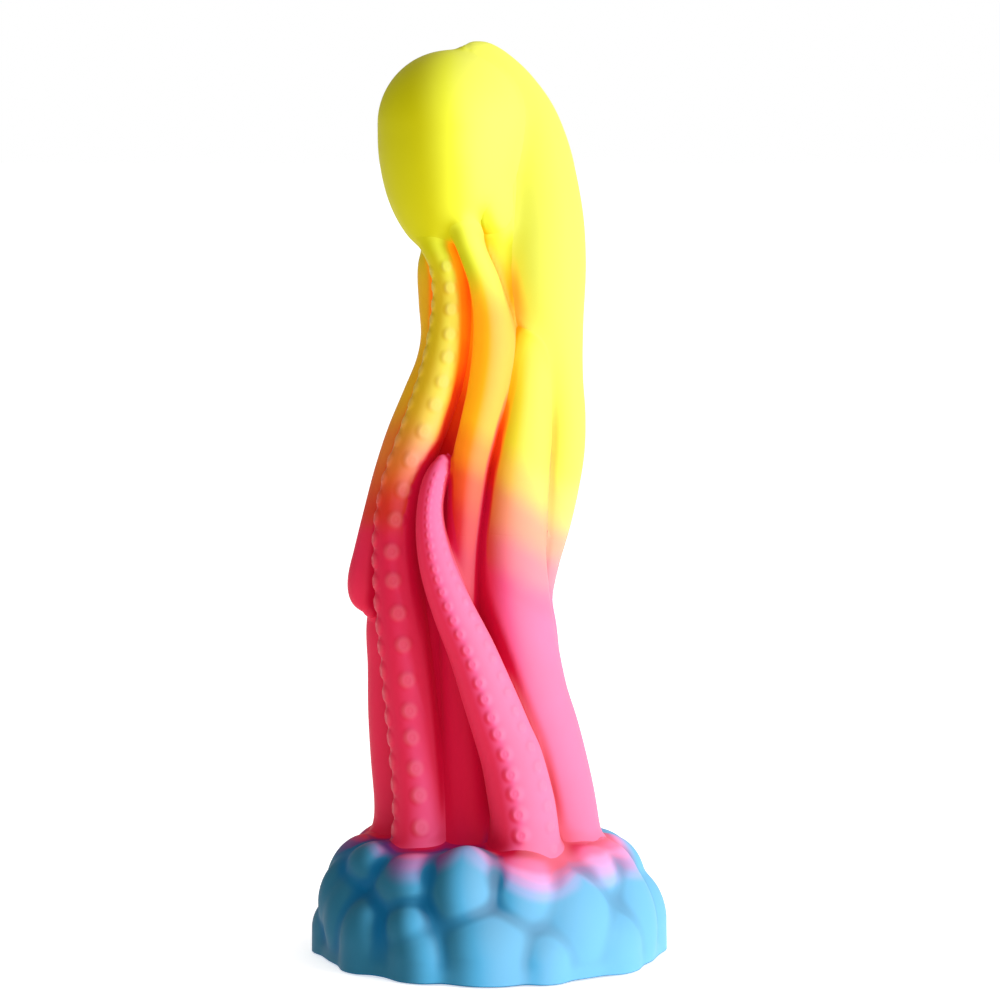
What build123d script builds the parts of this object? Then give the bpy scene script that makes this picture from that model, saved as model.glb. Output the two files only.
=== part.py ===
from build123d import *
import math
import os

# Octopus-form soft silicone piece, cast in one mould, standing on its base.
# Origin at the centre of the flat underside, +Z up, +X to the viewer's right,
# -Y towards the viewer. All lengths in millimetres.

# ---------------------------------------------------------------- dimensions
BASE_R = 42.8          # outer radius of the foot
FOOT_H = 7.0           # height of the foot disc's rim
DISH_R = 33.0          # radius of the shallow suction dish in the underside
DISH_DEPTH = 2.2       # depth of that dish at its centre
MOUND_R = 35.0         # rock mound, radius at the foot
MOUND_TOP_R = 24.0     # rock mound, radius at its top
MOUND_TOP_Z = 27.6     # height where the arms leave the mound
ARM_FLOOR_Z = 27.68    # lowest point of the arms' sections
GAP = 0.06             # parting between neighbouring features
TIP_FLAT = 0.8         # radius of the small flats at the poles of round stones and of the mantle

STEM_PIVOT = (-4.8, 0.0, 56.0)   # centre of the lower flex zone
STEM_BALL_R = 34.0
HEAD_PIVOT = (2.6, 0.0, 143.0)   # centre of the upper flex zone
HEAD_BALL_R = 30.0
FLEX_GAP = 0.05                  # half of the clearance at each flex interface

# Arms: centre line x, y, z and radius r, from the base to the top end.
FRONT_ARM = [(8.6, -17.5, 20.0, 7.9), (8.4, -18.5, 28.5, 7.9), (7.2, -19.6, 39.3, 7.7), (5.1, -20.0, 48.7, 7.2),
             (0.0, -20.3, 62.8, 6.25), (-4.4, -19.8, 74.5, 5.5), (-8.5, -19.0, 83.7, 4.9), (-12.0, -18.0, 92.9, 4.2),
             (-13.6, -17.0, 100.9, 3.55), (-13.9, -16.2, 107.1, 3.05), (-12.9, -15.4, 112.6, 2.5), (-10.9, -14.4, 117.9, 1.2)]
SUCKER_ARM = [(-15.5, -12.0, 20.0, 6.8), (-16.0, -11.8, 29.6, 6.6), (-17.1, -11.0, 48.4, 6.1), (-18.8, -10.9, 64.4, 5.9),
              (-20.6, -10.5, 80.2, 5.75), (-21.7, -9.5, 100.1, 5.3), (-20.5, -9.0, 109.4, 5.2), (-17.9, -9.0, 118.1, 5.2),
              (-14.7, -9.0, 127.0, 5.25), (-11.6, -8.6, 136.3, 5.15), (-9.8, -8.3, 145.6, 4.85), (-9.1, -8.3, 154.9, 4.3),
              (-10.0, -8.8, 162.3, 3.9), (-12.5, -8.2, 167.4, 3.4), (-15.1, -6.0, 171.5, 2.7)]
SLIM_ARM = [(-4.7, -13.5, 20.0, 5.85), (-4.7, -12.8, 29.8, 5.85), (-5.6, -11.9, 47.4, 5.4), (-6.8, -11.8, 68.6, 4.7),
            (-7.1, -12.6, 84.0, 4.15), (-6.5, -13.5, 98.2, 3.95), (-5.8, -13.8, 107.6, 4.2), (-4.6, -13.6, 116.9, 4.4),
            (-2.8, -13.2, 125.0, 4.5), (-0.7, -12.8, 134.2, 4.6), (0.5, -12.6, 143.5, 4.5), (0.2, -12.8, 151.6, 4.15),
            (-1.4, -12.8, 159.2, 3.6), (-3.7, -12.4, 165.2, 3.0), (-5.8, -11.0, 169.8, 2.4)]
BROAD_ARM = [(17.9, -5.0, 20.0, 8.75), (17.2, -5.0, 28.3, 8.85), (14.1, -6.2, 45.3, 8.95), (9.6, -8.6, 62.3, 8.7),
             (7.7, -9.6, 71.9, 8.55), (6.1, -10.2, 81.4, 8.5), (5.1, -10.9, 97.9, 7.8), (5.6, -11.0, 106.1, 7.3),
             (6.5, -11.0, 114.3, 6.85), (7.7, -11.0, 122.5, 6.15), (8.6, -10.6, 130.6, 5.4), (9.2, -9.5, 138.2, 4.8),
             (9.8, -6.8, 147.0, 3.6)]
CREST_ARM = [(15.4, 12.0, 20.0, 7.45), (15.1, 11.6, 28.0, 7.45), (13.6, 10.6, 43.7, 6.85), (12.2, 9.9, 54.7, 6.4),
             (10.9, 8.8, 65.7, 6.0), (9.9, 7.2, 75.6, 5.95), (9.3, 4.2, 83.7, 5.6), (10.9, -0.2, 92.9, 5.5),
             (13.9, -4.4, 102.8, 5.1), (16.0, -6.4, 111.2, 4.85), (17.3, -7.4, 119.6, 4.75), (17.5, -7.7, 127.9, 4.75),
             (16.6, -7.2, 136.1, 5.2), (14.9, -6.0, 145.5, 6.9), (13.5, -6.0, 154.8, 8.6), (13.0, -5.4, 163.6, 9.3),
             (12.8, -4.4, 172.9, 9.1), (12.1, -3.0, 181.4, 8.4), (11.0, -1.6, 189.5, 7.6), (9.1, -0.6, 197.0, 6.4),
             (6.1, -0.4, 203.5, 5.0), (2.6, -1.0, 208.3, 3.85), (-0.9, -1.8, 211.5, 2.9), (-5.3, -2.8, 212.3, 1.5)]
LEFT_ARM = [(-28.0, -1.2, 81.2, 2.2), (-29.0, -1.2, 84.6, 3.9), (-28.9, -1.0, 88.4, 4.7), (-27.4, -0.6, 94.6, 4.8),
            (-25.1, 0.0, 103.8, 4.8), (-22.9, 0.0, 113.3, 4.6), (-19.8, 0.0, 122.8, 4.6), (-16.2, -0.2, 132.2, 4.25),
            (-13.9, -0.3, 140.0, 3.5), (-12.9, -0.4, 146.3, 3.35), (-13.4, -0.6, 154.5, 3.4), (-13.3, -1.0, 162.7, 3.5),
            (-11.7, -1.0, 168.6, 3.0)]
REAR_LEFT_ARM = [(-20.6, 4.5, 18.5, 7.4), (-20.8, 4.5, 28.0, 7.2), (-22.2, 4.4, 45.9, 6.3), (-23.1, 4.0, 56.8, 5.95),
                 (-23.6, 3.4, 67.7, 5.55), (-24.0, 2.8, 77.3, 5.35), (-22.4, 4.4, 86.7, 5.35), (-19.3, 7.6, 95.9, 5.35),
                 (-15.8, 10.6, 105.2, 5.3), (-12.0, 12.8, 115.3, 5.25), (-8.4, 13.2, 125.3, 5.15), (-5.3, 12.8, 134.9, 4.9),
                 (-3.6, 12.4, 144.4, 4.65), (-3.8, 12.4, 154.0, 4.4), (-5.8, 13.0, 163.0, 4.15), (-8.1, 14.2, 171.7, 3.8),
                 (-9.8, 14.4, 180.0, 2.6)]
REAR_ARM = [(-2.5, 17.0, 16.0, 8.25), (-3.0, 16.6, 25.0, 8.1), (-4.9, 15.4, 46.5, 7.7), (-6.3, 14.2, 68.6, 7.15),
            (-6.3, 13.8, 79.5, 6.85), (-5.3, 13.6, 90.4, 6.6), (-2.9, 13.2, 101.3, 6.45), (0.4, 12.4, 112.2, 6.4),
            (3.8, 11.2, 123.1, 6.35), (6.6, 10.0, 133.9, 6.25), (8.5, 9.2, 144.6, 6.15), (9.2, 8.8, 154.1, 6.05),
            (9.0, 8.8, 163.1, 5.9), (8.0, 9.4, 171.8, 5.6), (6.3, 10.2, 180.1, 4.85), (4.5, 10.4, 187.1, 3.8),
            (3.3, 9.2, 191.8, 2.5)]
# Solid middle of the casting, between the arms: centre x, z and radius.
CORE = [(-1.9, 16.0, 13.8), (-2.9, 35.8, 13.4), (-4.8, 59.8, 12.6), (-6.7, 78.9, 12.0), (-7.1, 88.4, 11.8),
        (-5.2, 102.7, 11.4), (-2.4, 116.9, 10.8), (0.5, 131.0, 10.2), (2.0, 145.1, 9.8), (2.2, 156.9, 9.8),
        (2.0, 168.6, 9.8), (1.6, 177.9, 9.6), (1.4, 187.2, 8.6), (0.6, 196.0, 6.4)]
# Egg-shaped mantle: centre x, y, z of the axis, half-width and height.
MANTLE_C = (-8.7, -3.0)
MANTLE_BOTTOM_Z = 169.0
MANTLE_TOP_Z = 212.6
MANTLE_R = 17.1
MANTLE_WIDE_Z = 194.0
SIPHON = [(1.6, -11.0, 179.5, 2.0), (2.3, -12.4, 175.3, 1.9), (3.3, -13.2, 172.0, 1.6), (4.2, -13.4, 169.3, 1.1)]

# Moulded pebbles: name of the group -> centre x, y, z, half-width, half-height.
PEBBLES = {
    "front_pebbles": [(-6.0, -30.2, 19.6, 7.9, 11.0), (8.6, -30.0, 18.4, 7.7, 10.4), (-0.6, -35.6, 6.4, 6.6, 5.9),
                      (-15.6, -34.6, 5.0, 5.6, 4.5), (14.6, -34.6, 5.2, 5.6, 4.7)],
    "left_pebbles": [(-19.0, -25.0, 19.6, 7.2, 8.6), (-27.0, -14.6, 21.8, 6.6, 7.2), (-36.4, -13.6, 10.4, 4.8, 8.0),
                     (-31.0, -24.0, 7.6, 5.6, 7.0), (-32.8, 2.4, 15.6, 7.0, 10.4)],
    "right_pebbles": [(22.6, -25.6, 14.6, 7.8, 11.4), (26.8, -15.0, 21.2, 6.5, 7.8), (35.4, -12.6, 9.6, 5.6, 8.8),
                      (32.0, 1.6, 17.8, 7.0, 10.4), (29.6, 14.6, 14.8, 7.3, 11.0)],
    "rear_pebbles": [(-27.2, 17.4, 16.0, 7.6, 11.0), (-15.8, 28.8, 15.6, 7.8, 11.2), (-1.4, 31.0, 18.4, 7.9, 11.0),
                     (12.4, 30.8, 13.0, 7.2, 10.4), (21.6, 24.0, 19.4, 6.8, 9.4), (4.6, 37.0, 5.4, 4.8, 4.4)],
}


# ------------------------------------------------------------------- helpers
def limb(stations, grow=0.0):
    """A round tapering limb lofted through circles square to its centre line."""
    last = len(stations) - 1
    with BuildPart() as tube:
        for i, (x, y, z, r) in enumerate(stations):
            before, after = stations[max(i - 1, 0)], stations[min(i + 1, last)]
            along = Vector(after[0] - before[0], after[1] - before[1], after[2] - before[2]).normalized()
            side = Vector(0, 1, 0) - along * along.Y
            with BuildSketch(Plane(origin=(x, y, z), x_dir=side.normalized(), z_dir=along)):
                Circle(r + grow)
        loft()
    return tube.part


def egg(cx, cy, z_low, z_wide, z_top, radius, grow=0.0):
    """A closed egg standing on its narrow end, its seam on the -X side."""
    with BuildPart() as body:
        with BuildSketch(Plane(origin=(cx, cy, 0), x_dir=(-1, 0, 0), z_dir=(0, 1, 0))):
            with BuildLine():
                Spline((TIP_FLAT, z_low - grow), (radius * 0.62 + grow, z_low + (z_wide - z_low) * 0.32),
                       (radius + grow, z_wide), (radius * 0.70 + grow, z_wide + (z_top - z_wide) * 0.74),
                       (TIP_FLAT, z_top + grow), tangents=((1, 0), (-1, 0)))
                Polyline((TIP_FLAT, z_top + grow), (0, z_top + grow), (0, z_low - grow), (TIP_FLAT, z_low - grow))
            make_face()
        revolve(axis=Axis((cx, cy, 0), (0, 0, 1)))
    return body.part


def pebble(x, y, z, half_width, half_height, grow=0.0):
    """A smooth upright pebble, round in plan and oval in side view, its seam on the outer side."""
    a, b = half_width + grow, half_height + grow
    out_x, out_y = x / math.hypot(x, y), y / math.hypot(x, y)
    with BuildPart() as stone:
        with BuildSketch(Plane(origin=(x, y, z), x_dir=(out_x, out_y, 0), z_dir=(out_y, -out_x, 0))):
            with BuildLine():
                Spline((TIP_FLAT, -b), (a * 0.78, -b * 0.62), (a, -b * 0.05), (a * 0.74, b * 0.66), (TIP_FLAT, b),
                       tangents=((1, 0), (-1, 0)))
                Polyline((TIP_FLAT, b), (0, b), (0, -b), (TIP_FLAT, -b))
            make_face()
        revolve(axis=Axis((x, y, z), (0, 0, 1)))
    return stone.part


# ------------------------------------------------- zones between the flexes
STEM_BALL = Pos(*STEM_PIVOT) * Sphere(STEM_BALL_R)
HEAD_BALL = Pos(*HEAD_PIVOT) * Sphere(HEAD_BALL_R)
REACH = 140.0


def block(z_low, z_high):
    return Pos(0, 0, (z_low + z_high) / 2) * Box(REACH, REACH, z_high - z_low)


# base zone: below the stem pivot, or inside the stem ball
BASE_ZONE = block(ARM_FLOOR_Z, STEM_PIVOT[2]) + Pos(*STEM_PIVOT) * Sphere(STEM_BALL_R - FLEX_GAP)
BASE_ZONE = BASE_ZONE & block(ARM_FLOOR_Z, 100.0)
# stem zone: above the stem ball and below the head ball
STEM_ZONE = block(STEM_PIVOT[2], HEAD_PIVOT[2]) - Pos(*STEM_PIVOT) * Sphere(STEM_BALL_R + FLEX_GAP)
STEM_ZONE = STEM_ZONE - Pos(*HEAD_PIVOT) * Sphere(HEAD_BALL_R + FLEX_GAP)
# head zone: inside the head ball or above its pivot
HEAD_ZONE = block(HEAD_PIVOT[2], 230.0) + Pos(*HEAD_PIVOT) * Sphere(HEAD_BALL_R - FLEX_GAP)
ZONES = {"base": BASE_ZONE, "stem": STEM_ZONE, "head": HEAD_ZONE}

# Arms in the order in which they lie over each other, outermost first.
ARMS = [("front_arm", FRONT_ARM, ("base", "stem")), ("sucker_arm", SUCKER_ARM, ("base", "stem", "head")),
        ("broad_arm", BROAD_ARM, ("base", "stem", "head")), ("crest_arm", CREST_ARM, ("base", "stem", "head")),
        ("slim_arm", SLIM_ARM, ("base", "stem", "head")), ("left_arm", LEFT_ARM, ("stem", "head")),
        ("rear_left_arm", REAR_LEFT_ARM, ("base", "stem", "head")), ("rear_arm", REAR_ARM, ("base", "stem", "head"))]
PLACE = {"base": "lower", "stem": "middle", "head": "upper"}
cutters = {name: limb(stations, GAP) for name, stations, zones in ARMS}

mantle_cutter = egg(*MANTLE_C, MANTLE_BOTTOM_Z, MANTLE_WIDE_Z, MANTLE_TOP_Z, MANTLE_R, GAP)


def near(a, b):
    p, q = a.bounding_box(), b.bounding_box()
    return all(getattr(p.min, k) < getattr(q.max, k) and getattr(q.min, k) < getattr(p.max, k) for k in "XYZ")


def main_solid(shape):
    """The largest solid of a shape, so that a cut leaves no loose sliver."""
    return max(shape.solids(), key=lambda s: s.volume)


os.makedirs("parts", exist_ok=True)

# ---------------------------------------------------------------------- arms
for rank, (name, stations, zones) in enumerate(ARMS):
    whole = limb(stations)
    over = [cutters[other] for other, _, _ in ARMS[:rank]]
    for zone in zones:
        with BuildPart() as section:
            add(whole)
            add(ZONES[zone], mode=Mode.INTERSECT)
            for cutter in over:
                if near(section.part, cutter):
                    add(cutter, mode=Mode.SUBTRACT)
            if zone == "head" and name != "crest_arm":
                add(mantle_cutter, mode=Mode.SUBTRACT)
        label = name.replace("_arm", "") + "_arm_" + PLACE[zone]
        piece = main_solid(section.part)
        piece.label = label
        export_step(piece, "parts/" + label + ".step")

# -------------------------------------------------------------------- mantle
crest_cutter = limb(CREST_ARM, GAP)
whole_mantle = egg(*MANTLE_C, MANTLE_BOTTOM_Z, MANTLE_WIDE_Z, MANTLE_TOP_Z, MANTLE_R)
with BuildPart() as mantle:
    add(whole_mantle)
    add(crest_cutter, mode=Mode.SUBTRACT)
mantle_solid = main_solid(mantle.part)
mantle_solid.label = "mantle"
export_step(mantle_solid, "parts/mantle.step")

# -------------------------------------------------------------------- siphon
siphon_tube = limb(SIPHON)
siphon_cutter = limb(SIPHON, GAP)
with BuildPart() as siphon:
    add(siphon_tube)
    add(mantle_cutter, mode=Mode.SUBTRACT)
    for cutter in cutters.values():
        if near(siphon.part, cutter):
            add(cutter, mode=Mode.SUBTRACT)
siphon_solid = main_solid(siphon.part)
siphon_solid.label = "siphon"
export_step(siphon_solid, "parts/siphon.step")

# ---------------------------------------------------------------------- core
with BuildPart() as core_bar:
    for x, z, r in CORE:
        with BuildSketch(Plane.XY.offset(z)):
            with Locations((x, 0)):
                Circle(r)
    loft()
for zone, label in (("base", "core_lower"), ("stem", "core_middle"), ("head", "core_upper")):
    with BuildPart() as section:
        add(core_bar.part)
        add(ZONES[zone], mode=Mode.INTERSECT)
        for cutter in cutters.values():
            if near(section.part, cutter):
                add(cutter, mode=Mode.SUBTRACT)
        if zone == "head":
            add(mantle_cutter, mode=Mode.SUBTRACT)
            add(siphon_cutter, mode=Mode.SUBTRACT)
    piece = main_solid(section.part)
    piece.label = label
    export_step(piece, "parts/" + label + ".step")

# ------------------------------------------------------------------- pebbles
laid = []
above_ground = block(0.0, 60.0)
for group, stones in PEBBLES.items():
    solids = []
    for stone in stones:
        whole_stone = pebble(*stone)
        with BuildPart() as rock:
            add(whole_stone)
            for other in laid:
                if near(rock.part, other):
                    add(other, mode=Mode.SUBTRACT)
            for cutter in cutters.values():
                if near(rock.part, cutter):
                    add(cutter, mode=Mode.SUBTRACT)
            add(above_ground, mode=Mode.INTERSECT)
        solids.append(main_solid(rock.part))
        laid.append(pebble(*stone, grow=GAP))
    together = Compound(children=solids, label=group)
    export_step(together, "parts/" + group + ".step")

# ---------------------------------------------------------------- rock mound
with BuildPart() as rock_mound:
    with BuildSketch(Plane.XZ):
        with BuildLine():
            Polyline((0, FOOT_H + GAP), (MOUND_R, FOOT_H + GAP), (MOUND_R - 2.0, 15.0), (MOUND_TOP_R, MOUND_TOP_Z),
                     (0, MOUND_TOP_Z), close=True)
        make_face()
    revolve(axis=Axis.Z)
    for other in laid:
        add(other, mode=Mode.SUBTRACT)
mound_solid = main_solid(rock_mound.part)
mound_solid.label = "rock_mound"
export_step(mound_solid, "parts/rock_mound.step")

# ---------------------------------------------------------------------- foot
with BuildPart() as foot:
    with BuildSketch(Plane.XZ):
        with BuildLine():
            dish = ThreePointArc((0, DISH_DEPTH), (DISH_R * 0.55, DISH_DEPTH * 0.72), (DISH_R, 0))
            Line((DISH_R, 0), (BASE_R - 1.2, 0))
            ThreePointArc((BASE_R - 1.2, 0), (BASE_R - 0.35, 0.35), (BASE_R, 1.2))
            Line((BASE_R, 1.2), (BASE_R - 0.8, FOOT_H - 2.0))
            ThreePointArc((BASE_R - 0.8, FOOT_H - 2.0), (BASE_R - 1.6, FOOT_H - 0.5), (BASE_R - 3.0, FOOT_H))
            Line((BASE_R - 3.0, FOOT_H), (0, FOOT_H))
            Line((0, FOOT_H), (0, DISH_DEPTH))
        make_face()
    revolve(axis=Axis.Z)
    for other in laid:
        add(other, mode=Mode.SUBTRACT)
foot_solid = main_solid(foot.part)
foot_solid.label = "suction_foot"
export_step(foot_solid, "parts/suction_foot.step")
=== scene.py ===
import math
import bpy
import numpy as np
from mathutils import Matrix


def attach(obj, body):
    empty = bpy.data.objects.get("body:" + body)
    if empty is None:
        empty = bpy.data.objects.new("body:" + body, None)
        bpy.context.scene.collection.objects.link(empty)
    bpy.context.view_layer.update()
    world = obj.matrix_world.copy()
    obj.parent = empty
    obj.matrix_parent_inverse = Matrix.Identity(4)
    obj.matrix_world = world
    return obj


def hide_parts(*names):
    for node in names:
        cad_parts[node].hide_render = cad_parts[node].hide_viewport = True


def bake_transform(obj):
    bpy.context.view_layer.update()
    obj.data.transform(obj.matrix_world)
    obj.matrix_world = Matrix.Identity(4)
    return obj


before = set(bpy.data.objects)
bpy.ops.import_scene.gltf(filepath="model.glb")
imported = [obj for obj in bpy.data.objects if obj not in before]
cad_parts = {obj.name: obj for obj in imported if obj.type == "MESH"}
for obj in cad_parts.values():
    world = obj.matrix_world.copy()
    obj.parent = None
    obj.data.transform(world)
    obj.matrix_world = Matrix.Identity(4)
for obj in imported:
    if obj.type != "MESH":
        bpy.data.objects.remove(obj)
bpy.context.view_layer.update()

MM = 0.001

# ------------------------------------------------------------------ the sculpture, in millimetres
# Arms: centre line x, y, z and radius r.
ARMS = {
 "front_arm": [(8.63, -17.5, 22.85, 7.93), (8.39, -18.5, 28.47, 7.92), (7.92, -19.2, 34.5, 7.79), (7.21, -19.6, 39.28, 7.67), (5.12, -20, 48.74, 7.19), (3.03, -20.3, 54.65, 6.72), (0.02, -20.3, 62.84, 6.25), (-4.37, -19.8, 74.45, 5.48), (-8.54, -19, 83.67, 4.86), (-12.01, -18, 92.87, 4.16), (-13.63, -17, 100.91, 3.54), (-13.87, -16.2, 107.11, 3.06), (-12.95, -15.3, 112.6, 2.85), (-11.6, -14.6, 116.0, 2.4), (-10.9, -14.2, 117.6, 1.8)],
 "sucker_arm": [(-15.5, -12, 21.77, 6.81), (-15.96, -11.8, 29.58, 6.57), (-16.19, -11.3, 37.81, 6.33), (-17.11, -11, 48.43, 6.09), (-18.26, -10.9, 59.06, 5.97), (-19.41, -10.8, 69.68, 5.89), (-20.56, -10.5, 80.24, 5.75), (-21.48, -10, 90.77, 5.51), (-21.7, -9.5, 100.11, 5.32), (-20.53, -9, 109.44, 5.23), (-17.94, -9, 118.1, 5.22), (-14.66, -9, 126.98, 5.26), (-11.63, -8.6, 136.28, 5.17), (-9.76, -8.3, 145.58, 4.84), (-9.05, -8.3, 154.88, 4.32), (-9.96, -8.8, 162.32, 3.9), (-12.52, -8.2, 167.4, 3.48), (-15.1, -6, 171.51, 2.79)],
 "slim_arm": [(-4.7, -13.5, 22.07, 5.86), (-4.69, -12.8, 29.77, 5.86), (-5.16, -12.2, 37.97, 5.62), (-5.62, -11.9, 47.39, 5.38), (-6.09, -11.7, 58.01, 5.03), (-6.78, -11.8, 68.64, 4.67), (-7.23, -12.2, 79.29, 4.31), (-6.98, -13, 88.78, 4.03), (-6.5, -13.5, 98.2, 3.95), (-5.79, -13.8, 107.57, 4.18), (-4.62, -13.6, 116.87, 4.41), (-2.77, -13.2, 124.98, 4.5), (-0.68, -12.8, 134.24, 4.59), (0.48, -12.6, 143.5, 4.54), (0.25, -12.8, 151.61, 4.16), (-1.36, -12.8, 159.24, 3.58), (-3.67, -12.6, 165.22, 3.15), (-5.5, -12.4, 169.79, 3.0), (-6.5, -11.9, 172.6, 2.6)],
 "broad_arm": [(17.95, -5, 20.41, 8.75), (17.23, -5, 28.32, 8.86), (16.03, -5.4, 36.76, 8.85), (14.12, -6.2, 45.26, 8.95), (11.97, -7.4, 53.78, 8.93), (9.61, -8.6, 62.27, 8.68), (7.72, -9.6, 71.87, 8.54), (6.07, -10.2, 81.38, 8.53), (5.37, -10.6, 89.66, 8.17), (5.13, -10.9, 97.91, 7.81), (5.59, -11, 106.12, 7.33), (6.52, -11, 114.3, 6.86), (7.68, -11, 122.47, 6.16), (8.61, -10.6, 130.6, 5.45), (9.2, -9.5, 138.2, 5.0), (9.9, -7.6, 145.5, 4.6), (10.5, -5.4, 151.5, 4.0)],
 "crest_arm": [(15.35, 12, 17.09, 7.47), (15.09, 11.6, 25.23, 7.46), (14.6, 11.2, 33.83, 7.21), (13.62, 10.6, 43.65, 6.84), (12.16, 9.9, 54.67, 6.42), (10.94, 8.8, 65.71, 6.02), (9.96, 7.2, 75.56, 5.96), (9.23, 4.2, 83.72, 5.6), (10.85, -0.2, 92.93, 5.5), (13.87, -4.4, 102.77, 5.1), (15.95, -6.4, 111.22, 4.85), (17.33, -7.4, 119.57, 4.75), (17.54, -7.7, 127.85, 4.75), (16.58, -7.2, 136.08, 5.2), (14.92, -6, 145.45, 6.88), (13.51, -6, 154.78, 8.62), (13.05, -5.4, 163.59, 9.31), (12.81, -4.4, 172.86, 9.08), (12.12, -3, 181.43, 8.39), (10.96, -1.6, 189.54, 7.58), (9.1, -0.6, 196.97, 6.41), (6.06, -0.4, 203.47, 5.01), (2.57, -1, 208.32, 3.84), (-0.92, -1.8, 211.55, 2.91), (-3.71, -2.4, 212.46, 2.21), (-5.33, -2.8, 212.22, 1.51)],
 "left_arm": [(-27.9, -1.2, 81.9, 2.3), (-29.2, -1.2, 84.9, 4.0), (-28.9, -1, 88.4, 4.75), (-27.4, -0.6, 94.6, 4.85), (-25.1, 0, 103.84, 4.85), (-22.87, 0, 113.3, 4.59), (-19.78, 0, 122.75, 4.59), (-16.23, -0.2, 132.2, 4.23), (-13.86, -0.3, 139.97, 3.52), (-12.91, -0.4, 146.32, 3.35), (-13.36, -0.6, 154.53, 3.4), (-13.34, -1, 162.74, 3.51), (-11.7, -1, 168.58, 3.04)],
 "rear_left_arm": [(-20.62, 4.5, 18.55, 7.41), (-20.6, 4.5, 26.55, 7.29), (-21.06, 4.6, 35.0, 6.68), (-22.22, 4.4, 45.89, 6.32), (-23.13, 4, 56.79, 5.95), (-23.56, 3.4, 67.68, 5.56), (-23.99, 2.8, 77.33, 5.36), (-22.35, 4.4, 86.69, 5.34), (-19.32, 7.6, 95.89, 5.35), (-15.79, 10.6, 105.16, 5.32), (-11.99, 12.8, 115.26, 5.25), (-8.4, 13.2, 125.28, 5.13), (-5.29, 12.8, 134.87, 4.89), (-3.61, 12.4, 144.43, 4.64), (-3.85, 12.4, 153.95, 4.4), (-5.75, 13, 162.95, 4.16), (-8.13, 14.2, 171.69, 3.8), (-9.54, 14.2, 178.8, 2.97), (-9.75, 12.6, 183.32, 1.9)],
 "rear_arm": [(-2.51, 17, 16.12, 8.24), (-2.99, 16.6, 24.3, 8.11), (-3.71, 16, 35.43, 7.93), (-4.9, 15.4, 46.52, 7.72), (-5.85, 14.8, 57.57, 7.46), (-6.32, 14.2, 68.58, 7.16), (-6.3, 13.8, 79.53, 6.84), (-5.33, 13.6, 90.42, 6.61), (-2.93, 13.2, 101.3, 6.46), (0.42, 12.4, 112.18, 6.4), (3.76, 11.2, 123.05, 6.34), (6.61, 10, 133.87, 6.27), (8.5, 9.2, 144.61, 6.16), (9.2, 8.8, 154.11, 6.06), (8.96, 8.8, 163.1, 5.91), (8.01, 9.4, 171.81, 5.58), (6.35, 10.2, 180.05, 4.85), (4.46, 10.4, 187.12, 3.78), (3.28, 9, 191.83, 2.48)],
}
CORE = [(-1.8, 0, 19, 14.2), (-1.95, 0, 26, 14.2), (-2.89, 0, 35.81, 13.9), (-4.77, 0, 59.79, 13.1), (-6.65, 0, 78.89, 12.6), (-7.11, 0, 88.41, 12.4), (-5.21, 0, 102.65, 12.1), (-2.37, 0, 116.85, 11.6), (0.45, 0, 131.01, 10.9), (2.33, 0, 145.12, 10.6), (2.8, 0, 156.85, 10.6), (2.8, 0, 168.55, 10.9), (2.33, 1, 177.87, 11.0), (1.63, 1.5, 187.19, 9.83), (0.46, 1.5, 195.35, 7.02)]
MANTLE = [(-9.07, -3, 195.58, 17.1), (-9.31, -3, 189.55, 16.65), (-10.01, -3, 182.59, 14.45), (-10.95, -3.6, 176.56, 10.72), (-11.4, -4.4, 172.86, 7.45)]
SIPHON = [(-1.4, -7.6, 185.0, 4.2), (-0.5, -8.3, 181.0, 4.7), (0.2, -8.7, 177.4, 4.4), (0.9, -8.8, 174.2, 3.7), (1.4, -7.6, 171.2, 2.8)]

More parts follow.
